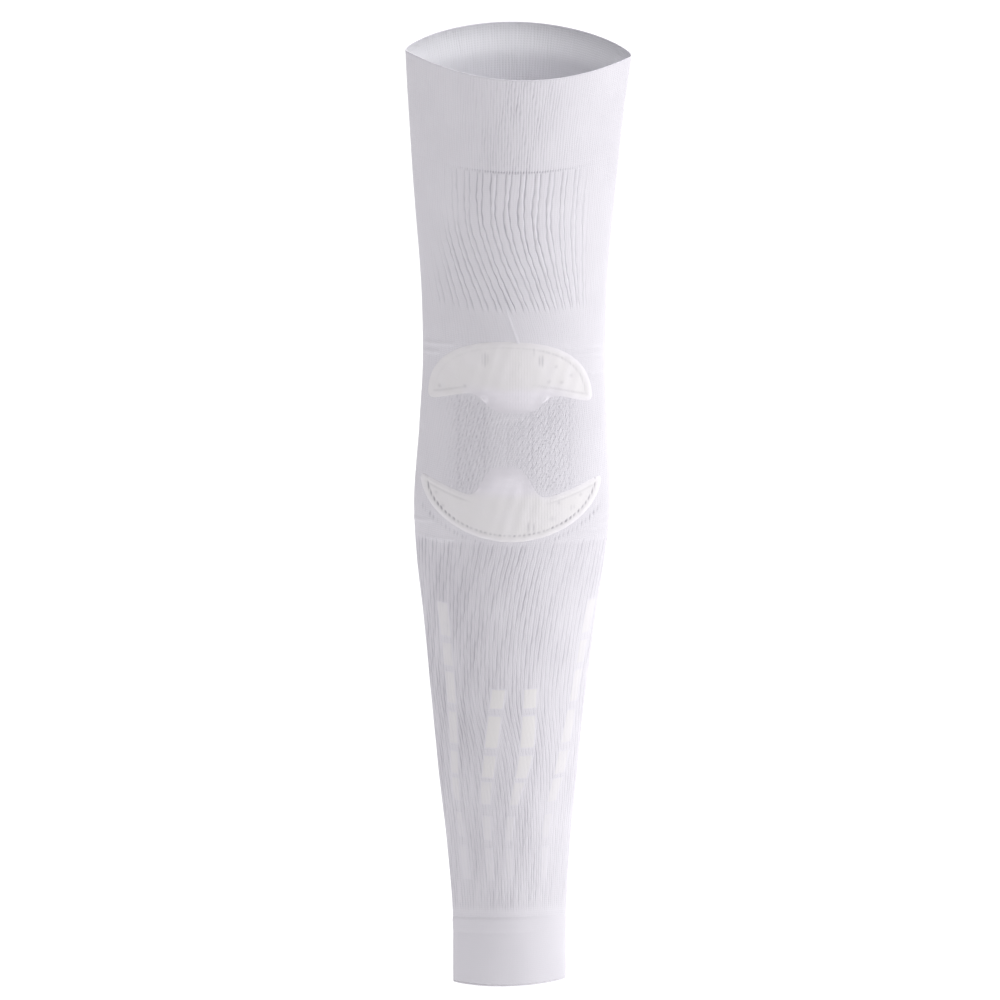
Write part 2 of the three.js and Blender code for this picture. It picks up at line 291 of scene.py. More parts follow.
def panel_relief(needle, x, z):
    """Pairs of ribs, one wide and one narrow, between grooves. Each rib is a half sine across its
    own width and each groove a bell curve, times a fade towards the folds and the panel's ends. They
    are stretched lower at the sides."""
    lane = np.mod((needle - LANE_START) * LANES, 1.0)
    from_groove = np.minimum(np.abs(lane - NARROW_SHARE), np.minimum(lane, 1 - lane))
    groove = bell(from_groove, 0.0, GROOVE_HALF)
    narrow = np.sin(np.pi * np.clip(lane / NARROW_SHARE, 0, 1))
    wide = np.sin(np.pi * np.clip((lane - NARROW_SHARE) / (1 - NARROW_SHARE), 0, 1))
    ribs = NARROW_HEIGHT * narrow + WIDE_HEIGHT * wide - GROOVE_DEPTH * groove
    ribs = ribs * (0.85 + 0.4 * wander(needle, z, phase=4.0))
    sides = ease(x - through(z, PANEL_LEFT), -2.0, 10.0) * ease(x, PANEL_RIGHT + 2, PANEL_RIGHT - 3)
    sides = sides * (1 - PANEL_LOW[0] * ease(x, -10.0, -20.0) - PANEL_LOW[1] * ease(x, 10.0, 22.0))
    ends = ease(z, PANEL_FOOT - 1.5, PANEL_FOOT + 2.5) * ease(z, WELT_HEM, WELT_HEM - 1.5)
    return ribs * sides * ends


# %% Relief of the forearm, the elbow mesh and the plain knit
RIBS = WALES // 2
FOREARM_TOP = -49.0
RIB_DEPTH = np.array([(-226, 0.19), (-150, 0.21), (-90, 0.22), (-49, 0.21)])  # z, depth
FINE_SHARE = 0.45  # of a rib's depth that the finer groove along its middle has
LEFT_GAIN, RIGHT_LOSS, LOW_RIGHT_LOSS = 0.32, 0.28, 0.27  # of the depth: deeper on the left, shallower on the right, against the light from the right; the painted groove shade follows
MESH_DEPTH, MESH_LEFT_GAIN = 0.1, 0.55
MESH_SUNK = 0.3  # of its depth that the whole mesh lies in
MESH_LINES = 144  # slanting lines that would fit round the girth
MESH_LEANS = (2.4, -3.3)  # mm up the arm from one slanting line of the mesh to the next
SPECKLE_WAVES = ((61, 3.1), (-37, 4.3), (83, -5.7))
MESH_HALF_WIDTH = 27.0
MESH_TOP, MESH_FOOT = 15.0, -22.0
LADDERS = (-24.0, -12.8, -2.5, 8.0, 15.3, 24.3)  # x of the upright ladders of tuck stitches
LADDER_HALF, LADDER_RUNG = 0.55, 2.2
WALE_DEPTH = 0.03
WELT_WALE_DEPTH = 0.18
WELT_MIDDLE, WELT_REACH = 2.0, 31.0  # x where the welt's wales are clearest, and how far they go
WORN_ACROSS, WORN_UP = (0.0, 4.5), (156.0, 5.0)  # middle and half size of a patch that is deeper still


def forearm_relief(needle, x, z):
    """One groove to two needles, a cosine wave raised to the third power, and a finer one between. It
    fades out where the elbow begins and just above the cuff, and is deeper on the left and shallower
    on the right, against the light from the right."""
    groove = np.maximum(comb(needle, RIBS, 3), FINE_SHARE * comb(needle, WALES, 2))
    worn = np.clip(0.85 + 0.8 * wander(needle, z, phase=1.0), 0.1, 1.5)
    low = ease(z, -150.0, -190.0)
    left, right = ease(x, -6.0, -22.0), ease(x, 6.0, 16.0)
    worn *= 1 + LEFT_GAIN * (1 - low) * left - (RIGHT_LOSS + LOW_RIGHT_LOSS * low) * right
    ends = ease(z, FOREARM_TOP + 1.0, FOREARM_TOP - 2.0) * ease(z, CUFF_HEM + 1.5, CUFF_HEM + 6.0)
    return -through(z, RIB_DEPTH) * groove * worn * ends


def mesh_share(x, y, z):
    """How much of the open elbow mesh there is at a point of the front, from 0 to 1."""
    sides = ease(np.abs(x), MESH_HALF_WIDTH + 7, MESH_HALF_WIDTH - 7)
    ends = ease(z, MESH_TOP + 8, MESH_TOP) * ease(z, MESH_FOOT - 8, MESH_FOOT)
    return sides * ends * (y < 0)


def mesh_relief(needle, x, z):
    """Lines that slant both ways, cosine waves round the tube that move on with height, each broken
    up by crossing waves. On the left they turn into upright columns of dots. Upright ladders of tuck
    stitches cut through them, a bell curve across by a wave up."""
    lines = 0.0
    for lean in MESH_LEANS:
        slanting = np.cos(2 * np.pi * (MESH_LINES * needle + z / lean))
        lines = lines + slanting * (0.55 + 1.3 * wander(needle, z, SPECKLE_WAVES, phase=lean))
    rungs = 0.6 + 0.4 * np.cos(2 * np.pi * z / LADDER_RUNG)
    columns = np.cos(2 * np.pi * MESH_LINES * needle) * (rungs + wander(needle, z, SPECKLE_WAVES))
    lines = lines + (columns - 0.8 * lines) * ease(x, 6.0, -8.0)
    ladders = sum(bell(x, place, LADDER_HALF) for place in LADDERS)
    # Deeper on the left, against the light from the right, and so with more painted shade there.
    depth = MESH_DEPTH * (1 + MESH_LEFT_GAIN * ease(x, -6.0, -18.0))
    return depth * (lines - ladders * rungs - MESH_SUNK)


def wale_relief(needle, x, z):
    """The plain knit's fine wales: a narrow groove to each needle, deeper in patches of the welt and
    clearer at the back."""
    behind = ease(np.abs(needle), 0.25, 0.4)
    middle = hump(x, WELT_MIDDLE, WELT_REACH) * (1 - behind) + 0.4 * behind
    in_welt = ease(z, WELT_HEM - 0.5, WELT_HEM + 0.5) * middle
    patch = bell(x, *WORN_ACROSS) * bell(z, *WORN_UP)
    plain = WALE_DEPTH * (1 + 1.2 * behind)
    depth = plain + (WELT_WALE_DEPTH * (1 + 0.7 * patch * (1 - behind)) - plain) * in_welt
    groove = comb(needle, WALES, 2)
    broken = 1 + 0.5 * in_welt * wander(needle, z, SPECKLE_WAVES)
    uneven = (1.1 - 0.4 * in_welt) * wander(needle, z, phase=2.0)
    return -depth * groove * broken * np.clip(0.55 + 0.1 * in_welt + uneven, 0, 1.4)


# %% [markdown]
# Some lines stand alone. A ridge runs on from the panel, short bands lead from the crescents to the
# folds, pinholes follow the welt's hem, and a row of short dimples follows the lower crescent. The
# crescents and grip strips are laid on afterwards, and the cloth is pressed flatter where they lie.
# Their outlines are wanted here already and come first.

# %% Outlines of the crescent pads
PADS = {
    "upper_crescent": {
        "middle": -1.5, "reach": 35.6, "tip": 14.4, "crown": 43.2, "fullness": 2.2, "waist": 24.6,
        "tongue": -10.4, "tongue_middle": 0.0, "tongue_reach": 14.0,
    },
    "lower_crescent": {
        "middle": -1.1, "reach": 39.4, "tip": -21.4, "crown": -45.5, "fullness": 1.95, "waist": -31.0,
        "tongue": 15.8, "tongue_middle": -3.0, "tongue_reach": 11.6,
    },
}
PAD_TIP = 4.2
TIP_CORNER = 2.4  # mm; radius of the round corner at a tip's inner side


def facing(pad):
    """1 where a pad's outer edge is its upper one, and -1 where it is its lower one."""
    return np.sign(pad["crown"] - pad["tip"])


def pad_edges(pad, share):
    """x, outer and inner edge of a pad at shares of its half length. The outer edge is a
    superellipse from tip to tip, the inner one a parabola with the tongue added as a flat-topped
    bell. Both are set apart by the tip's height, which rounds off at the very end, and a quarter
    circle rounds the corner between them."""
    share = np.clip(share, -1, 1)
    away = facing(pad)
    arch = (1 - np.abs(share) ** pad["fullness"]) ** (1 / pad["fullness"])
    x = pad["middle"] + share * pad["reach"]
    tongue = pad["tongue"] * np.exp(-(((x - pad["tongue_middle"]) / pad["tongue_reach"]) ** 4))
    blunt = PAD_TIP / 2 * away * np.sqrt(1 - np.abs(share) ** 6)
    outer = pad["tip"] + (pad["crown"] - pad["tip"]) * arch + blunt
    inner = pad["tip"] + (pad["waist"] - pad["tip"]) * (1 - share**2) + tongue - blunt
    near_tip = np.clip(1 - (1 - np.abs(share)) * pad["reach"] / TIP_CORNER, 0, 1)
    corner = TIP_CORNER * (1 - np.sqrt(1 - near_tip**2))
    return x, outer, away * np.minimum(away * inner + corner, away * outer - 0.05)


def covered(x, z, pad):
    """How much of the cloth a pad covers, from 0 at its edge to 1 two millimetres inside it."""
    share = (x - pad["middle"]) / pad["reach"]
    _, outer, inner = pad_edges(pad, share)
    away = facing(pad)
    inside = ease(away * (outer - z), 0.3, 2.0) * ease(away * (z - inner), 0.3, 2.0)
    return inside * ease(np.abs(share), 1.0, 0.96)


def beside_tongue(x, z):
    """How near the cloth is to a pad's tongue: 1 from its edge inwards, 0 from eight millimetres away.
    The tongue is taken as a plain bell curve here, which is softer at its sides than its outline."""
    total = 0.0
    for pad in PADS.values():
        tongue = bell(x, pad["tongue_middle"], 1.25 * pad["tongue_reach"])
        near = ease(facing(pad) * (pad["waist"] + pad["tongue"] * tongue - z), 8.0, -1.0)
        total = total + near * tongue
    return np.clip(total, 0, 1)


print("pads:", ", ".join(PADS))

# %% Lines of the grip strips
# Top and foot of each row of dashes, from the elbow down
DASH_ROWS = (
    (-79, -95.5), (-98, -109.2), (-111.5, -127), (-130, -146),
    (-149, -160.2), (-161.6, -173), (-178, -190), (-193.5, -209),
)
# Rows along each strip, from its foot to its top: z, the middle as a share of the half width, the width
STRIPS = {
    "outer_left": ((-209, -0.71, 3.6), (-172, -0.765, 3.4), (-128, -0.73, 4.2), (-79, -0.765, 5.2)),
    "inner_left": (
        (-209, -0.3, 3.4), (-186, -0.33, 3.8), (-168, -0.325, 5.2),
        (-154, -0.267, 6.0), (-117.5, -0.12, 6.8),
    ),
    "inner_right": (
        (-209, 0.012, 2.8), (-183, 0.022, 3.8), (-167, 0.127, 5.0),
        (-155, 0.22, 6.4), (-117.5, 0.285, 6.4),
    ),
    "outer_right": (
        (-209, 0.585, 2.8), (-183, 0.6, 3.8), (-156, 0.75, 5.2),
        (-124, 0.85, 3.8), (-79, 0.92, 4.0),
    ),
}


def pressed(x, z):
    """How much the print of a grip strip presses the ribs flat, from 0 to 1 along its whole line, gaps
    between its dashes too."""
    width, shift = section_at(z)[:2]
    total = 0.0
    for line in map(np.array, STRIPS.values()):
        top = line[-1, 0]
        off = np.abs(x - shift - through(z, line) * width / 2) - through(z, line, 2) / 2
        total = total + ease(off, 0.7, -0.5) * ease(z, top + 1.0, top - 1.0) * ease(z, -215.0, -209.0)
    return total * (1 - 0.5 * ease(z, -140.0, -190.0))


print(len(STRIPS), "strips,", len(DASH_ROWS), "rows")

# %% Relief of single lines, and all of it together
# The ridge that runs on from the panel to the upper crescent: x and z of its two ends
RIDGE = ((-3.3, 60.0), (2.2, 44.0))
RIDGE_HEIGHT = 0.35
# Short raised bands between the crescents and the folds: x and z of the two ends of each
BANDS = (
    ((33.3, -39.4), (43.0, -41.6)), ((26.8, -42.8), (43.0, -46.6)), ((17.6, -47.6), (42.0, -51.5)),
    ((-43.5, -43.6), (-35.0, -41.4)), ((-43.0, -50.6), (-25.9, -48.6)), ((-38.5, 38.8), (-25.9, 41.7)),
    ((-39.0, 34.6), (-32.0, 36.4)), ((22.4, 40.5), (38.0, 37.4)), ((25.9, 36.4), (38.5, 33.4)),
    ((32.8, 26.7), (39.5, 24.8)),
)
BAND_HEIGHT = 0.2
BAND_HALF = 0.85
# A thin raised line in the welt, and a soft arc in the mesh below the upper tongue
WELT_LINE = ((-15.0, 163.0), (-14.6, 134.0))
WELT_LINE_HEIGHT = 0.1
ARC_HEIGHT, ARC_HALF = 0.14, 0.6
ARC_TOP, ARC_BEND, ARC_REACH = 9.3, 0.023, 11.0
HEM_DOT_DEPTH, HEM_DOT_HALF = 0.4, 0.55
CUFF_HEM_DEPTH, CUFF_HEM_HALF = 0.05, 0.8
DIMPLE_DEPTH = 0.26
DIMPLE_RING, DIMPLE_HALF = 1.1, 0.03  # of the row of dimples, against the lower crescent's outer edge
FULL_HOLLOW = 0.4  # depth at which the painted shade of a groove is darkest
PRESSED_SHARE = 0.55  # of the ribs' depth that a grip strip takes away


def line_relief(x, z, line, half):
    """1 along a straight line between two points of the front, falling off as a bell curve to its
    sides and fading over the last two millimetres at its ends."""
    (x0, z0), (x1, z1) = line
    middle = z0 + (z1 - z0) * (x - x0) / (x1 - x0)
    slope = (z1 - z0) / (x1 - x0)
    off = (z - middle) / np.hypot(1, slope)
    if abs(slope) > 1:
        ends = ease(z, z1 - 1, z1 + 1) * ease(z, z0 + 1, z0 - 1)
    else:
        ends = ease(x, x0 - 1, x0 + 1) * ease(x, x1 + 1, x1 - 1)
    return bell(off, 0.0, half) * ends


def hem_relief(needle, z):
    """Pinholes in a row along the welt's hem, a squared cosine wave, clearest at the front. The cuff's
    hem is a plain shallow groove."""
    dots = comb(needle, WALES, 2)
    middle = 0.04 + 0.96 * hump(needle, 0.01, 0.17)
    pinholes = HEM_DOT_DEPTH * dots * middle * bell(z, WELT_HEM, HEM_DOT_HALF)
    return -pinholes - CUFF_HEM_DEPTH * bell(z, CUFF_HEM + 0.6, CUFF_HEM_HALF)


def dimple_relief(needle, x, z):
    """Short dimples, one to two needles, in a ring a little outside the lower crescent: a bell curve
    across a larger copy of the crescent's own superellipse."""
    pad = PADS["lower_crescent"]
    along = np.abs(x - pad["middle"]) / pad["reach"]
    down = np.maximum(0, (pad["tip"] - PAD_TIP / 2 - z) / (pad["tip"] - pad["crown"]))
    ring = (along ** pad["fullness"] + down ** pad["fullness"]) ** (1 / pad["fullness"])
    dots = comb(needle, RIBS, 2)
    sides = ease(np.abs(x - pad["middle"]), 10.0, 15.0) * ease(down, 0.35, 0.6)
    sides *= np.clip(0.7 + 0.9 * wander(needle, z, phase=7.0), 0, 1.3)
    return -DIMPLE_DEPTH * dots * sides * bell(ring, DIMPLE_RING, DIMPLE_HALF)


def knit_relief(needle, turn, z):
    """All zones of the knitted tube added up, in millimetres out of the skin, and how much painted
    shade the cloth gets there, from 0 to 1 in the deepest grooves."""
    x, y, _ = np.moveaxis(skin(turn, z), -1, 0)
    front = y < 0
    mesh = mesh_share(x, y, z) * (1 - 0.75 * beside_tongue(x, z))
    plain = (1 - mesh) * ease(z, FOREARM_TOP - 2, FOREARM_TOP + 1)
    relief = mesh * mesh_relief(needle, x, z) + plain * wale_relief(needle, x, z)
    ribs = forearm_relief(needle, x, z)
    relief += ribs * (1 - PRESSED_SHARE * front * pressed(x, z)) + hem_relief(needle, z)
    lines = panel_relief(needle, x, z) + dimple_relief(needle, x, z)
    lines += RIDGE_HEIGHT * line_relief(x, z, RIDGE, 0.55)
    lines += WELT_LINE_HEIGHT * line_relief(x, z, WELT_LINE, 0.4)
    arc = bell(z + ARC_BEND * x**2, ARC_TOP, ARC_HALF)
    lines += ARC_HEIGHT * arc * ease(np.abs(x), ARC_REACH, ARC_REACH - 3)
    for band in BANDS:
        lines += BAND_HEIGHT * line_relief(x, z, band, BAND_HALF)
    under = front * sum(covered(x, z, pad) for pad in PADS.values())
    relief = (relief + front * lines) * (1 - under)
    # Painted shade: the deeper a point sinks, the darker its colour is painted, as shade in the grooves.
    hollow = np.clip(-relief / FULL_HOLLOW, 0, 1)
    return relief - 0.3 * under, hollow


print("zones: welt, ribbed panel, elbow mesh, forearm ribs, cuff;", len(BANDS), "bands")

# %% [markdown]
# ## Finishes
#
# The yarn is white nylon wrapped round elastane. Nylon filament is smooth, so the cloth is matte
# from its loops and not from its fibre, and it catches a soft sheen at the edge. In the shade it
# looks faintly lavender. Inside the mouth the cloth's wrong side shows; it is painted a lighter, more
# neutral white against the tint that light picks up bouncing in there, and painted shade greys it
# deeper in. The pads and strips are printed silicone rubber: a warmer, creamy white with a dull
# skin. Colours are written as sRGB hex values, as a paint chart gives them, and one function turns
# them to the linear values that Blender mixes. Two attributes of the mesh steer the cloth's colour:
# one paints shade into the grooves and insides, and lining says where the cloth is seen from behind.


# %% Colour and node helpers
def paint(hex_colour):
    """sRGB hex to linear: each channel is divided by 12.92 in the darks, and is otherwise a power."""
    channels = np.array([int(hex_colour[i : i + 2], 16) for i in (1, 3, 5)]) / 255
    linear = np.where(channels <= 0.04045, channels / 12.92, ((channels + 0.055) / 1.055) ** 2.4)
    return (*linear, 1.0)


def add_node(tree, kind, inputs, output=0, **settings):
    """Adds a shader node of a kind, such as Math, with its settings, gives each input a value or a link,
    and returns an output."""
    node = tree.nodes.new("ShaderNode" + kind)
    for name, value in settings.items():
        setattr(node, name, value)
    for socket, value in inputs.items():
        if isinstance(value, bpy.types.NodeSocket):
            tree.links.new(value, node.inputs[socket])
        else:
            node.inputs[socket].default_value = value
    return node.outputs[output] if node.outputs else node


def new_material(name):
    """A material without nodes, and its node tree."""
    material = bpy.data.materials.new(name)
    material.use_nodes = True
    tree = material.node_tree
    tree.nodes.clear()
    return material, tree


# %% Knitted nylon
SLEEVE_LENGTH = TOP_RIM - WRIST_RIM
COURSE_HEIGHT = 0.95  # mm; the real courses are about 0.6 mm and would be too fine to show
LOOP_SLANT = 4.5  # radians by which a loop's legs lag behind its middle
CLOUD_SIZE = 22.0  # mm; patches where the yarn lies looser or tighter


def knitted_nylon(name, yarn, hollow, inside, loop_depth, sheen):
    """Stocking stitch: in UV, x counts wales and y counts courses. A triangle wave across the wale
    makes its two legs, and a sine up the wale, lagging towards the legs, makes the loops' V."""
    material, tree = new_material(name)
    uv = add_node(tree, "TexCoord", {}, output="UV")
    courses = 2 * np.pi * SLEEVE_LENGTH / COURSE_HEIGHT
    stitches = add_node(tree, "Mapping", {"Vector": uv, "Scale": (WALES, courses, 1)})
    wale = add_node(tree, "SeparateXYZ", {0: stitches}, output="X")
    course = add_node(tree, "SeparateXYZ", {0: stitches}, output="Y")
    leg = add_node(tree, "Math", {0: wale, 1: 0.5}, operation="PINGPONG")
    lag = add_node(tree, "Math", {0: leg, 1: LOOP_SLANT, 2: course}, operation="MULTIPLY_ADD")
    loop = add_node(tree, "Math", {0: lag}, operation="SINE")
    height = add_node(tree, "Math", {0: loop, 1: 0.3, 2: leg}, operation="MULTIPLY_ADD")
    place = add_node(tree, "TexCoord", {}, output="Object")
    cloud = add_node(
        tree, "TexNoise", {"Vector": place, "Scale": 1 / (CLOUD_SIZE * MM), "Detail": 3.0}
    )
    # Painted shade between the loops: where the stitch height is low, the colour goes a little towards the
    # shade colour.
    low = {"Value": height, "From Min": 0.6, "From Max": -0.2, "To Min": 0.0, "To Max": 0.1}
    gaps = add_node(tree, "MapRange", low)
    # Painted shade: an attribute darkens the grooves and the insides towards the shade colour.
    shade_mask = add_node(tree, "Attribute", {}, output="Fac", attribute_name="hollow")
    shade = add_node(tree, "Math", {0: cloud, 1: 0.3, 2: gaps}, operation="MULTIPLY_ADD")
    shade = add_node(tree, "Math", {0: shade_mask, 1: 1.0, 2: shade}, operation="MULTIPLY_ADD")
    mixed = {0: shade, 6: paint(yarn), 7: paint(hollow)}
    colour = add_node(tree, "Mix", mixed, output=2, data_type="RGBA")
    # The lining is the cloth's wrong side, painted a lighter, more neutral white against the tint that light
    # takes on bouncing inside the mouth.
    lining = add_node(tree, "Attribute", {}, output="Fac", attribute_name="lining")
    mixed = {0: lining, 6: colour, 7: paint(inside)}
    colour = add_node(tree, "Mix", mixed, output=2, data_type="RGBA")
    fuzz = {"Value": cloud, "From Min": 0.3, "From Max": 0.7, "To Min": 0.78, "To Max": 0.92}
    roughness = add_node(tree, "MapRange", fuzz)
    bump = add_node(tree, "Bump", {"Height": height, "Distance": loop_depth * MM})
    surface = {
        "Base Color": colour,
        "Roughness": roughness,
        "IOR": 1.53,
        "Specular IOR Level": 0.3,
        "Sheen Weight": sheen,
        "Sheen Roughness": 0.5,
        "Normal": bump,
    }
    cloth = add_node(tree, "BsdfPrincipled", surface)
    add_node(tree, "OutputMaterial", {"Surface": cloth})
    return material


# Single knit shows its loops, in the welt too. The cuff's double knit is pressed flat and looks smoother.
# The third colour is that of the painted shade; the fourth is the lining's, painted lighter and more neutral
# against the tint of light bouncing inside the mouth.
single_knit = knitted_nylon("nylon_elastane_knit", "#E9E6ED", "#C2BFC8", "#ECECF0", 0.05, 0.2)
double_knit = knitted_nylon("nylon_double_knit", "#E3E0E7", "#CECBD4", "#ECECF0", 0.02, 0.2)
print("materials:", single_knit.name, double_knit.name)

# %% [markdown]
# Silicone is printed on as a paste and cured, so it has a fine orange peel and a dull skin. Where it
# thins out, at an edge or on a tongue, the cloth's own colour shows through it. An attribute named
# pale, worked out with each pad's shape, says how much. A second one paints shade into the grooves.

# %% Printed silicone
PEEL_SIZE = 0.9  # mm


def printed_silicone(name, field, rim, hollow):
    """Cream rubber: a noise mottles the colour a little, and a finer one gives the skin its peel."""
    material, tree = new_material(name)
    place = add_node(tree, "TexCoord", {}, output="Object")
    mottle = add_node(tree, "TexNoise", {"Vector": place, "Scale": 1 / (7 * MM), "Detail": 2.0})
    peel = add_node(tree, "TexNoise", {"Vector": place, "Scale": 1 / (PEEL_SIZE * MM)})
    pale = add_node(tree, "Attribute", {}, output="Fac", attribute_name="pale")
    shade = add_node(tree, "Math", {0: mottle, 1: 0.4, 2: pale}, operation="MULTIPLY_ADD")
    mixed = {0: shade, 6: paint(field), 7: paint(rim)}
    colour = add_node(tree, "Mix", mixed, output=2, data_type="RGBA")
    # Painted shade: an attribute darkens the grooves, holes and strokes towards the shade colour.
    shade_mask = add_node(tree, "Attribute", {}, output="Fac", attribute_name="hollow")
    mixed = {0: shade_mask, 6: colour, 7: paint(hollow)}
    colour = add_node(tree, "Mix", mixed, output=2, data_type="RGBA")
    dull = {"Value": mottle, "From Min": 0.3, "From Max": 0.7, "To Min": 0.5, "To Max": 0.62}
    roughness = add_node(tree, "MapRange", dull)
    bump = add_node(tree, "Bump", {"Height": peel, "Distance": 0.05 * MM, "Strength": 0.6})
    surface = {
        "Base Color": colour,
        "Roughness": roughness,
        "IOR": 1.41,
        "Specular IOR Level": 0.35,
        "Normal": bump,
    }
    rubber = add_node(tree, "BsdfPrincipled", surface)
    add_node(tree, "OutputMaterial", {"Surface": rubber})
    return material


# The last colour of each is that of the painted shade.
pad_silicone = printed_silicone("matte_silicone_pad", "#E9E6E8", "#EFEBF3", "#B3B0B7")
grip_silicone = printed_silicone("matte_silicone_grip", "#E8E5E5", "#E2DFE7", "#C2BEC9")
print("materials:", pad_silicone.name, grip_silicone.name)

# %% [markdown]
# ## Putting a grid into a mesh
#
# Two kinds of closed mesh are enough for the whole sleeve. A tube is a grid of rings whose last
# ring joins the first, so the outside, the rims and the lining are one skin round a thin wall. A
# plate is a grid on top, the same grid below it, and a strip round the edge. Whole arrays go in
# with foreach_set, which is much faster than adding vertices one by one. A mesh whose signed volume
# comes out negative is inside out, and its faces are turned round.


# %% Mesh makers
LINING_SHARE = 0.85  # of the lining colour that the lining shows: the wrong side, painted lighter and more neutral against the tint of light bouncing inside


def new_piece(name, points, quads, uv, material, **attributes):
    """A mesh object from points in millimetres, quads and the UV of each quad's corners. Each named
    attribute holds a number for every point."""
    places = points.reshape(-1, 3) * MM
    a, b, c, d = (places[quads[:, k]] for k in range(4))
    if (a * (np.cross(b, c) + np.cross(c, d))).sum() < 0:
        quads, uv = quads[:, ::-1], uv[:, ::-1]
    mesh = bpy.data.meshes.new(name)
    mesh.vertices.add(len(places))
    mesh.vertices.foreach_set("co", places.ravel())
    mesh.loops.add(quads.size)
    mesh.loops.foreach_set("vertex_index", quads.ravel().astype(np.int32))
    mesh.polygons.add(len(quads))
    mesh.polygons.foreach_set("loop_start", np.arange(0, quads.size, 4, dtype=np.int32))
    mesh.polygons.foreach_set("use_smooth", np.ones(len(quads), bool))
    mesh.uv_layers.new(name="UVMap").uv.foreach_set("vector", uv.astype(np.float32).ravel())
    for attribute, values in attributes.items():
        layer = mesh.attributes.new(attribute, "FLOAT", "POINT")
        layer.data.foreach_set("value", values.astype(np.float32).ravel())
    mesh.update(calc_edges=True)
    mesh.materials.append(material)
    piece = bpy.data.objects.new(name, mesh)
    bpy.context.scene.collection.objects.link(piece)
    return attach(piece, "root")


def tube(name, profile, material, needles=NEEDLES):
    """A closed wall round the arm. profile has a row for each ring, in order round the wall: its height,
    its lift, how much of the knit's relief it shows and its painted shade apart from the relief's. A
    ring with a negative share of the relief is lining, where the cloth is seen from behind."""
    z, lift, worth, shade = (column[:, None] for column in profile.T)
    share = share_of(needles, z)
    turn = np.array([around(row, height) for row, height in zip(share, z[:, 0])])
    relief, hollow = knit_relief(needles, turn, z)
    points = skin(turn, z, lift + dents(turn, z)) + (worth * relief)[..., None] * outward(turn, z)
    index = np.arange(turn.size).reshape(turn.shape)
    right = np.roll(index, -1, axis=1)
    quads = np.stack([index, right, np.roll(right, -1, axis=0), np.roll(index, -1, axis=0)], axis=-1)
    across = np.append(needles, needles[0] + 1) + 0.5
    up = (np.append(z, z[0]) - WRIST_RIM) / SLEEVE_LENGTH
    corners_across = np.stack([across[:-1], across[1:], across[1:], across[:-1]], axis=-1)[None]
    corners_up = np.stack([up[:-1], up[:-1], up[1:], up[1:]], axis=-1)[:, None]
    uv = np.stack(np.broadcast_arrays(corners_across, corners_up), axis=-1)
    # Painted shade: from the relief's depth outside, plus each ring's own painted shade; the lining's colour
    # gives way to it deeper in.
    hollow = np.clip(hollow * np.maximum(worth, 0) + shade, 0, 1)
    inside = LINING_SHARE * (worth < 0) * (1 - 0.5 * shade) * np.ones_like(hollow)
    marks = {"hollow": hollow, "lining": inside}
    return new_piece(name, points, quads.reshape(-1, 4), uv.reshape(-1, 4, 2), material, **marks)


def plate(name, top, bottom, uv, material, **attributes):
    """A closed plate: a grid of points on top, one below, and quads round the edge between them."""
    rows, columns = top.shape[:2]
    count = rows * columns
    index = np.arange(count).reshape(rows, columns)
    face = np.stack([index[:-1, :-1], index[:-1, 1:], index[1:, 1:], index[1:, :-1]], axis=-1).reshape(-1, 4)
    edge = np.concatenate([index[0, :-1], index[:-1, -1], index[-1, :0:-1], index[:0:-1, 0]])
    after = np.roll(edge, -1)
    side = np.stack([after, edge, edge + count, after + count], axis=-1)
    quads = np.concatenate([face, face[:, ::-1] + count, side])
    points = np.concatenate([top.reshape(-1, 3), bottom.reshape(-1, 3)])
    both = np.concatenate([uv.reshape(-1, 2)] * 2)
    twice = {name: np.concatenate([values.ravel()] * 2) for name, values in attributes.items()}
    return new_piece(name, points, quads, both[quads], material, **twice)


def rings(heights, lift=0.0, worth=1.0, shade=0.0):
    """Rows of a tube's profile, one for each height."""
    return np.stack(np.broadcast_arrays(np.asarray(heights, float), lift, worth, shade), axis=-1)


def rim(edge, way, lift, wall, shade=0.0):
    """Half a circle over a turned edge, from the outside to the lining. way is 1 at an upper edge and
    -1 at a lower one."""
    angle = np.linspace(0, np.pi, 9)
    radius = wall / 2
    return rings(edge + way * radius * (np.sin(angle) - 1), lift - radius * (1 - np.cos(angle)), 0.0, shade)


print("mesh makers ready")

# %% [markdown]
# ## The knitted tube
#
# The welt at the upper mouth is turned over and linked down, so it is twice as thick as the tube
# below it and its rim is round. Below the hem, three stretches share one skin: the upper arm with
# its panel, the elbow and the forearm. They are separate meshes only to stay light, and they meet
# where their relief is the same. A ring very close to each cut keeps the shading smooth up to it.

# %% Welt, upper arm, elbow and forearm
KNIT_WALL = 1.2
DOUBLE_WALL = 2.0
RIM_WALL = 0.4  # the welt is stretched thin where it is turned over
ELBOW_TOP = 47.0
CUT = 0.02  # distance of the ring that guards a cut's shading
LINING_RELIEF = -1.6  # the wales stand the other way inside, and are clearer
RIM_SHADE, LINING_SHADE, INSIDE_SHADE = 0.25, 0.8, 0.6  # painted shade on the welt's rim, on its lining deep in the mouth and on the other linings


def stretch(foot, top, spacing, finer_top=0.0):
    """Heights from foot to top at about a given spacing, with a ring close to each cut, and half
    the spacing over the last finer_top millimetres."""
    count = round((top - finer_top - foot) / spacing)
    heights = np.linspace(foot, top - finer_top, count + 1)
    if finer_top:
        extra = np.linspace(top - finer_top, top, round(2 * finer_top / spacing) + 1)
        heights = np.concatenate([heights, extra[1:]])
    return np.concatenate([[foot, foot + CUT], heights[1:-1], [top - CUT, top]])


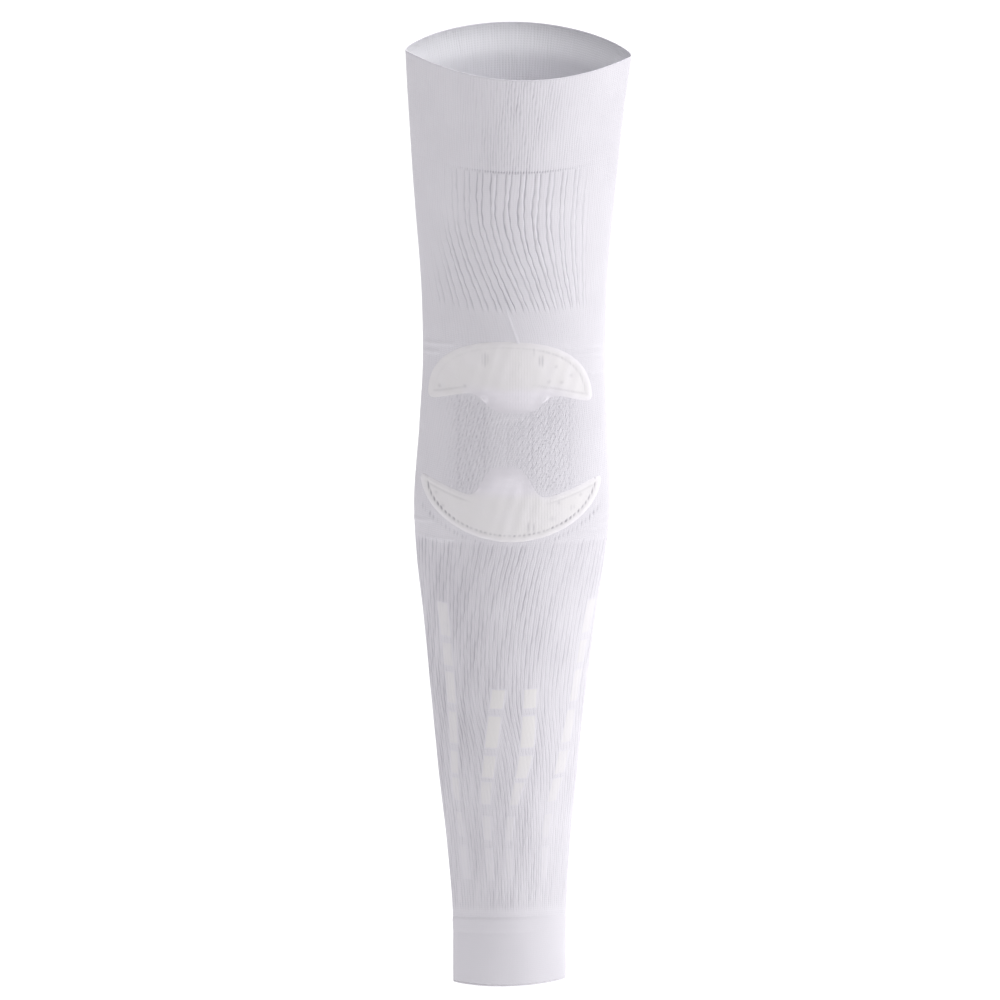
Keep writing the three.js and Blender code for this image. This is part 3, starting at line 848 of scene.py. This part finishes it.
welt_heights = WELT_HEM + np.concatenate([[0, CUT], np.arange(0.35, 3.0, 0.35), np.linspace(3.2, 44, 54)])
lining_heights = np.append(np.linspace(TOP_RIM - 0.8, WELT_HEM + CUT, 24), WELT_HEM)
lining_lift = -RIM_WALL - (DOUBLE_WALL - RIM_WALL) * ease(lining_heights, TOP_RIM - 1, TOP_RIM - 14)
# Painted shade that darkens the lining deeper in the mouth.
lining_shade = LINING_SHADE * ease(lining_heights, TOP_RIM - 8, TOP_RIM - 36)
welt_profile = np.concatenate(
    [
        rings(welt_heights),
        rim(TOP_RIM, 1, 0.0, RIM_WALL, RIM_SHADE),
        rings(lining_heights, lining_lift, LINING_RELIEF, lining_shade),
    ]
)
welt = tube("welt_knit", welt_profile, single_knit, FINE_NEEDLES)
print("welt:", len(welt.data.polygons) * 2, "triangles")
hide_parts("upper_welt")

for name, foot, top, spacing, finer, needles in (
    ("upper_arm_knit", ELBOW_TOP, WELT_HEM, 0.8, 4.0, FINE_NEEDLES),
    ("elbow_knit", FOREARM_TOP, ELBOW_TOP, 0.72, 0.0, NEEDLES),
    ("forearm_knit", CUFF_HEM, FOREARM_TOP, 1.3, 0.0, NEEDLES),
):
    heights = stretch(foot, top, spacing, finer)
    lining = rings([top, *np.linspace(top - CUT, foot + CUT, 12), foot], -KNIT_WALL, 0.0, INSIDE_SHADE)
    piece = tube(name, np.concatenate([rings(heights), lining]), single_knit, needles)
    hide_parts("sleeve_body")
    print(name, len(piece.data.polygons) * 2, "triangles")

# %% [markdown]
# ## The cuff
#
# At the wrist the tube ends in a plain double band. It is pressed flat, so it shows no ribs, and it
# stands a little proud of the knit above it. A faint second line a few millimetres below its upper
# edge is where the inner layer is linked on. All of that is in the profile that is carried round.

# %% Cuff
CUFF_STEP = 0.24
LINK_LINE = -233.6
LINK_DEPTH, LINK_HALF = 0.1, 1.3
cuff_heights = np.append(np.linspace(WRIST_RIM + 1.0, CUFF_HEM - 0.2, 80), [CUFF_HEM - CUT, CUFF_HEM])
hem = bell(cuff_heights, CUFF_HEM, CUFF_HEM_HALF)
link = bell(cuff_heights, LINK_LINE, LINK_HALF)
cuff_lift = CUFF_STEP - (CUFF_STEP + CUFF_HEM_DEPTH) * hem - LINK_DEPTH * link
cuff_profile = np.concatenate(
    [
        rim(WRIST_RIM, -1, CUFF_STEP, DOUBLE_WALL)[::-1],
        rings(cuff_heights, cuff_lift, 0.0),
        rings(np.linspace(CUFF_HEM, WRIST_RIM + 1.2, 12), CUFF_STEP - DOUBLE_WALL, 0.0),
    ]
)
cuff = tube("cuff_knit", cuff_profile, double_knit, NEEDLES[::3])
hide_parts("wrist_cuff")
print("cuff:", len(cuff.data.polygons) * 2, "triangles")

# %% [markdown]
# ## The crescent pads
#
# Each pad is a thin plate with a raised rim, a narrow groove inside the rim and a soft tongue that
# points at the elbow. The plate is a grid between its inner and outer edge. The distance from each
# grid point to those edges then gives the relief: a raised cosine is the rim and a bell curve the
# groove. Along the tongue there is no rim and the plate thins out into the cloth. Distances make
# the rim turn round the tips by itself, which a profile carried along one edge wouldn't do.

# %% Marks on the pads
# x and z of the nubs beside each tongue, of the pinholes and of the tongue's swell; x, top, foot and
# depth of the short upright strokes; where the inner rim ends on each side; x and strength of the rim
# and of the groove inside it; share of the groove that its pinholes take; middle and reach of the
# patch of flutes
PAD_MARKS = {
    "upper_crescent": {
        "nubs": ((-12.8, 17.6), (14.1, 17.4)),
        "holes": ((18.4, 32.6), (25.0, 27.6), (20.8, 25.0), (15.2, 25.8), (-32.0, 20.6), (-21.1, 22.8)),
        "strokes": (
            (-13.6, 39.6, 33.0, 0.07),
            (-12.4, 40.0, 32.6, 0.12),
            (-11.2, 39.6, 34.0, 0.06),
            (2.6, 36.4, 32.4, 0.04),
            (8.8, 42.6, 38.0, 0.07),
            (11.2, 38.8, 33.4, 0.13),
            (12.5, 38.8, 33.0, 0.16),
        ),
        "swell": (0.5, 14.6),
        "rim_ends": (-18.0, 6.0),
        "rim": ((-30.0, 0.15), (0.0, 0.3), (20.0, 0.85)),
        "groove": ((-30.0, 0.05), (0.0, 0.12), (14.0, 0.35)),
        "stitches": 0.0,
        "flutes": (2.0, 8.0),
    },
    "lower_crescent": {
        "nubs": ((-16.7, -23.6), (11.1, -22.6)),
        "holes": ((-33.5, -28.1), (-30.8, -33.6), (19.5, -30.4), (29.1, -28.1)),
        "strokes": (
            (6.4, -38.0, -43.6, 0.15),
            (8.7, -38.6, -43.8, 0.17),
            (15.5, -36.6, -38.6, 0.1),
            (16.6, -36.0, -39.2, 0.13),
            (17.7, -36.4, -38.8, 0.08),
            (24.9, -32.3, -34.9, 0.12),
            (26.2, -32.1, -34.5, 0.09),
        ),
        "swell": (-5.0, -18.0),
        "rim_ends": (-16.0, 12.0),
        "rim": ((-30.0, 0.65), (0.0, 0.4), (20.0, 0.75)),
        "groove": ((-30.0, 1.5), (-18.0, 0.8), (0.0, 0.7), (10.0, 0.8), (20.0, 1.5)),
        "stitches": 0.9,
        "flutes": (12.0, 15.0),
    },
}
PAD_ENDS = 0.999  # share of the half length where the tips are closed


def distance_to(line, x, z):
    """Distance from each grid point to a line of points: the nearest of its segments, each met at
    the clamped foot of the perpendicular."""
    start, step = line[:-1], np.diff(line, axis=0)
    away = np.stack([x, z], axis=-1)[..., None, :] - start
    along = np.clip((away * step).sum(-1) / (step**2).sum(-1), 0, 1)
    return np.linalg.norm(away - along[..., None] * step, axis=-1).min(-1)


print(sum(len(marks["holes"]) for marks in PAD_MARKS.values()), "pinholes in the pads")

# %% Relief and mesh of a pad
PAD_COLUMNS, PAD_ROWS = 321, 49
PLATE = 0.13
RIM_HEIGHT, RIM_MIDDLE, RIM_REACH = 0.15, 1.3, 1.6
PAD_GROOVE, GROOVE_MIDDLE, PAD_GROOVE_HALF = 0.16, 2.8, 0.48
INNER_GROOVE = 0.25  # depth of the groove inside the inner rim, as a share of the outer one's
HOLE_DEPTH, HOLE_HALF = 0.05, 0.75
STROKE_HALF = 0.42
NUB_HEIGHT, NUB_HALF = 0.3, 1.3
SWELL_HEIGHT, SWELL_HALF = 0.2, (7.5, 4.0)
RIPPLE_HEIGHT, RIPPLE_PITCH, RIPPLE_BEND = 0.045, 3.3, 0.01  # arcs across a tongue
PALE_RIM, PALE_RIM_WIDTH = 0.45, 2.4
TONGUE_SHADE, TONGUE_FADE = 0.22, 7.0  # how much darker a tongue is painted towards its edge, and how far in
STITCH = 2.1  # mm from pinhole to pinhole along the groove
FLUTE_HEIGHT, FLUTE_PITCH = 0.04, 1.25  # the fine upright flutes that the cloth below prints through
LUMP_HEIGHT = 0.12  # where the paste was laid on thicker or thinner
LUMP_WAVES = ((9, 31.0), (-12, 23.0), (14, -19.0), (5, 9.0))  # to 80 mm along the pad, and mm up the arm
SUNK = -0.45  # the plate's underside lies in the knit


def rims(pad, marks, x, z):
    """Distances from a pad's grid points to its outer rim, to its inner one and to its whole outline,
    and how much there is of the inner rim. That rim follows the inner edge's parabola and dies out
    beside the tongue, so its distance is measured to the edge as it would be without a tongue."""
    fine = np.sin(np.linspace(-1, 1, 161) * np.pi / 2) * PAD_ENDS
    edge_x, outer, inner = pad_edges(pad, fine)
    outer_line = np.stack([edge_x, outer], axis=-1)
    inner_line = np.stack([edge_x, inner], axis=-1)
    outer_line = np.concatenate([inner_line[:1], outer_line, inner_line[-1:]])
    to_outer = distance_to(outer_line, x, z)
    to_edge = np.minimum(to_outer, distance_to(inner_line, x, z))
    share = (x - pad["middle"]) / pad["reach"]
    parabola = pad_edges({**pad, "tongue": 0.0}, share)[2]
    slope = 2 * (pad["waist"] - pad["tip"]) * share / pad["reach"]
    away = facing(pad)
    to_inner = away * (z - parabola) / np.hypot(1, slope)
    left, right = marks["rim_ends"]
    kept = ease(x, left, left - 8) + ease(x, right, right + 8)
    return to_outer, to_inner, to_edge, kept


def pad_relief(pad, marks, x, z, run):
    """Height of a pad over the knit, how pale it is and how much painted shade it gets. run is the
    length along its outer edge. Rims are raised cosines of the distance to them, and grooves bell
    curves of it."""
    to_outer, to_inner, to_edge, kept = rims(pad, marks, x, z)
    raised = np.maximum(hump(to_outer, RIM_MIDDLE, RIM_REACH), kept * hump(to_inner, RIM_MIDDLE, RIM_REACH))
    beside_outer = bell(to_outer, GROOVE_MIDDLE, PAD_GROOVE_HALF)
    beside_outer *= 1 - marks["stitches"] * (0.5 - 0.5 * np.cos(2 * np.pi * run / STITCH))
    beside_inner = INNER_GROOVE * kept * bell(to_inner, GROOVE_MIDDLE, PAD_GROOVE_HALF)
    strength = np.interp(x, *np.array(marks["groove"]).T) * (0.8 + 0.8 * wander(run / 97.0, z, phase=6.0))
    sunk = PAD_GROOVE * np.maximum(strength * beside_outer, beside_inner) * (1 - raised)
    sunk *= ease(np.abs(x - pad["middle"]) / pad["reach"], 0.97, 0.9)
    for hole_x, hole_z in marks["holes"]:
        sunk += HOLE_DEPTH * bell(x, hole_x, HOLE_HALF) * bell(z, hole_z, HOLE_HALF)
    for stroke_x, top, foot, depth in marks["strokes"]:
        ends = ease(z, top + 0.8, top - 2.0) * ease(z, foot - 0.8, foot + 2.0)
        sunk += 0.5 * depth * bell(x, stroke_x, STROKE_HALF) * ends
    swell_x, swell_z = marks["swell"]
    from_middle = np.abs(x - swell_x) / pad["tongue_reach"]
    on_tongue = ease(from_middle, 2.0, 0.8) * ease(np.abs(z - swell_z), 11.0, 4.0)
    bend = facing(pad) * RIPPLE_BEND * (x - swell_x) ** 2
    uneven = 0.9 * wander(x / 60.0, z, phase=5.0)
    ripple = np.cos(2 * np.pi * (z - swell_z + bend) / RIPPLE_PITCH + uneven) * (0.6 + uneven)
    flutes = FLUTE_HEIGHT * np.cos(2 * np.pi * x / FLUTE_PITCH) * hump(x, *marks["flutes"])
    clear = np.interp(x, *np.array(marks["rim"]).T)
    height = PLATE * (1 - 0.5 * on_tongue) + RIM_HEIGHT * clear * raised
    height += flutes * ease(to_outer, 2.8, 4.5) + LUMP_HEIGHT * wander(x / 80.0, z, LUMP_WAVES)
    height += SWELL_HEIGHT * bell(x, swell_x, SWELL_HALF[0]) * bell(z, swell_z, SWELL_HALF[1])
    height += RIPPLE_HEIGHT * on_tongue * ripple
    rounded = np.sqrt(1 - (1 - np.clip(to_edge / (3.0 - 1.8 * clear), 0, 1)) ** 2)
    rounded += (ease(to_edge, 0.0, 6.0) - rounded) * on_tongue
    nubs = sum(bell(x, nub_x, NUB_HALF) * bell(z, nub_z, NUB_HALF) for nub_x, nub_z in marks["nubs"])
    nubs = nubs * ease(to_edge, 0.0, 0.8)
    pale = np.maximum(on_tongue, PALE_RIM * clear * ease(to_edge, PALE_RIM_WIDTH, 0.2))
    # Painted shade in the grooves, pinholes and strokes and in the ripples' troughs; the tongue is painted
    # darker towards its edge, and the nubs are left without it, so they look lighter.
    hollow = sunk / PAD_GROOVE + 0.025 * on_tongue * (1 - ripple)
    hollow += TONGUE_SHADE * on_tongue * ease(to_edge, TONGUE_FADE, 0.0) - nubs
    return (height - sunk) * rounded + NUB_HEIGHT * nubs, pale, np.clip(hollow, 0, 1)


def crescent(name, pad):
    """The pad's grid: shares of the half length along it, closer at the tips, and from the inner to
    the outer edge across it, closer at the edges."""
    share = np.sin(np.linspace(-1, 1, PAD_COLUMNS) * np.pi / 2) * PAD_ENDS
    t = (0.5 - 0.5 * np.cos(np.linspace(0, np.pi, PAD_ROWS)))[:, None]
    x, outer, inner = pad_edges(pad, share)
    z = inner + (outer - inner) * t
    x = np.broadcast_to(x, z.shape)
    run = np.concatenate([[0.0], np.cumsum(np.hypot(np.diff(x[0]), np.diff(outer)))])
    height, pale, hollow = pad_relief(pad, PAD_MARKS[name], x, z, run)
    turn = turn_at(x, z)
    uv = np.stack([x, z], axis=-1) / SLEEVE_LENGTH + 0.5
    lie = dents(turn, z)
    top, bottom = skin(turn, z, lie + height), skin(turn, z, lie + SUNK)
    piece = plate(name + "_pad", top, bottom, uv, pad_silicone, pale=pale, hollow=hollow)
    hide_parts(name)
    return piece


pads = [crescent(name, pad) for name, pad in PADS.items()]
for piece in pads:
    print(piece.name, len(piece.data.polygons) * 2, "triangles")

# %% [markdown]
# ## The grip strips
#
# Four strips run down the forearm, each cut into dashes by rows that all four share. Every dash is
# a small plate with soft corners and a rounded edge. One function makes a dash, and a loop over the
# strips and rows makes all of them, so a change to the print shows on every dash at once.

# %% Dashes
DASH_GRID = (21, 27)  # points across and up
DASH_THICKNESS = 0.11
FULL_WEAR = 0.8  # of the outer strips, and of the inner ones low down
WORN_THIN, WORN_PALE = 0.75, 0.35  # of the thickness and the colour that full wear takes away
PRINT_THROUGH = 0.8  # share of the ribs' depth that still shows on top of a dash


def dash(name, line, top, foot, wear):
    """A plate between two heights of a strip's line. a runs across and b up, both from -1 to 1; the
    height is the thickness times a flat-topped bell in each, plus a share of the ribs below. wear is
    how much of the cloth's colour shows through, from 0 to 1."""
    a = np.sin(np.linspace(-1, 1, DASH_GRID[0]) * np.pi / 2)
    b = np.sin(np.linspace(-1, 1, DASH_GRID[1]) * np.pi / 2)[:, None]
    z = (top + foot) / 2 + (top - foot) / 2 * b
    width, shift = section_at(z)[:2]
    x = shift + through(z, line) * width / 2 + through(z, line, 2) / 2 * a
    turn = turn_at(x, z)
    needle = np.array([needle_at(row, height) for row, height in zip(turn, z[:, 0])])
    relief, hollow = knit_relief(needle, turn, z)
    edge = DASH_THICKNESS * (1 - WORN_THIN * wear) * (1 - a**4) * (1 - b**6)
    lie = dents(turn, z)
    top_points = skin(turn, z, lie + edge) + (PRINT_THROUGH * relief)[..., None] * outward(turn, z)
    uv = np.stack([x, np.broadcast_to(z, x.shape)], axis=-1) / SLEEVE_LENGTH + 0.5
    full = 1 - WORN_PALE * (wear + ease(z, -150, -205))
    full = full * ease(np.abs(a), 1.0, 0.7) * ease(np.abs(b), 1.0, 0.88)
    # Painted shade in the grooves of the ribs that print through, stronger on worn dashes.
    marks = {"pale": 1 - full, "hollow": PRINT_THROUGH * (0.3 + 0.7 * wear) * hollow}
    piece = plate("print_" + name, top_points, skin(turn, z, lie + SUNK), uv, grip_silicone, **marks)
    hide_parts("dash_" + name)
    return piece


dashes = []
for strip, line in STRIPS.items():
    start = line[-1][0]
    rows = [(min(top, start), foot) for top, foot in DASH_ROWS if foot < start]
    for number, (top, foot) in enumerate(rows, 1):
        wear = FULL_WEAR if "outer" in strip else FULL_WEAR * ease(foot, -140, -190)
        dashes.append(dash(f"{strip}_{number}", np.array(line), top, foot, wear))
print(len(dashes), "dashes")

# %% [markdown]
# ## What the cloth is
#
# Each knitted stretch is thin cloth, a tube that would open out to a flat piece as wide as its
# girth. The sleeve is shown at the size that it is knitted to, filled out, so flat and measured
# sizes agree. The crescents are silicone pads laid on it.

# %% [markdown]
# ## Studio
#
# The sleeve hangs as if on an arm, in front of a pale floor far enough below it to carry no shadow
# in this view. A small soft light, low and close on the right, models the round of the arm and picks
# out the ribs. A large one above it lights the rim and the inside of the mouth, and a weak one behind
# the left edge sets that edge off. The bright floor and a white surround fill the rest evenly. The
# camera is a long lens, 20 degrees above the horizon, so the open mouth shows as a lens shape.


# %% Floor and lights
def aim(thing, place, target):
    """Puts a light or camera at a place and turns it to look at a target, both in metres."""
    thing.location = place
    thing.rotation_euler = (Vector(target) - Vector(place)).to_track_quat("-Z", "Y").to_euler()
    bpy.context.scene.collection.objects.link(thing)


FLOOR_HEIGHT = -0.56
FLOOR_HALF = 9.0
floor_mesh = bpy.data.meshes.new("floor")
corners = [(x * FLOOR_HALF, y * FLOOR_HALF, FLOOR_HEIGHT) for x, y in ((-1, -1), (1, -1), (1, 1), (-1, 1))]
floor_mesh.from_pydata(corners, [], [(0, 1, 2, 3)])
floor = bpy.data.objects.new("floor", floor_mesh)
bpy.context.scene.collection.objects.link(floor)
floor_paint, tree = new_material("white_studio_paint")
matte = {
    "Base Color": paint("#A8A8A8"),
    "Roughness": 0.9,
    "Emission Color": paint("#FFFFFF"),
    "Emission Strength": 0.86,
}
add_node(tree, "OutputMaterial", {"Surface": add_node(tree, "BsdfPrincipled", matte)})
floor_mesh.materials.append(floor_paint)

LIGHTS = (
    # name, place, size across and up, power in watts
    ("key", (0.85, -0.14, -0.4), (0.5, 0.26), 3.6),
    ("top", (0.57, 0.12, 2.2), (1.4, 1.4), 66.0),
    ("edge", (-1.6, 0.5, 0.0), (0.5, 1.0), 1.8),
)
for name, place, (size_x, size_y), power in LIGHTS:
    lamp = bpy.data.lights.new(name, "AREA")
    lamp.shape = "RECTANGLE"
    lamp.size, lamp.size_y = size_x, size_y
    lamp.energy = power
    aim(bpy.data.objects.new(name, lamp), place, (0.0, 0.0, -0.05))

WORLD_FILL = 0.29
world = bpy.data.worlds.new("white_surround")
world.use_nodes = True
tree = world.node_tree
tree.nodes.clear()
seen = add_node(tree, "LightPath", {}, output="Is Camera Ray")
fill = {"Value": seen, "From Min": 0.0, "From Max": 1.0, "To Min": WORLD_FILL, "To Max": 1.0}
strength = add_node(tree, "MapRange", fill)
surround = add_node(tree, "Background", {"Color": paint("#FFFFFF"), "Strength": strength})
add_node(tree, "OutputWorld", {"Surface": surround})
bpy.context.scene.world = world
bpy.context.scene.view_settings.view_transform = "Standard"
print(len(LIGHTS), "lights over a floor", round(WRIST_RIM - FLOOR_HEIGHT / MM), "mm below the wrist")

# %% Camera
LENS = 1200.0
SENSOR = 36.0
FRAME_WIDTH = 435.05  # mm that the picture's width takes in at the sleeve
VIEW_CENTRE = np.array((-5.87, -11.6, -31.2))
VIEW_ELEVATION = np.radians(20)
lens = bpy.data.cameras.new("camera")
lens.lens = LENS
lens.sensor_width = SENSOR
camera = bpy.data.objects.new("camera", lens)
towards = np.array((0.0, -np.cos(VIEW_ELEVATION), np.sin(VIEW_ELEVATION)))
aim(camera, (VIEW_CENTRE + towards * FRAME_WIDTH * LENS / SENSOR) * MM, VIEW_CENTRE * MM)
bpy.context.scene.camera = camera
print("camera", round(FRAME_WIDTH * LENS / SENSOR), "mm from the sleeve")
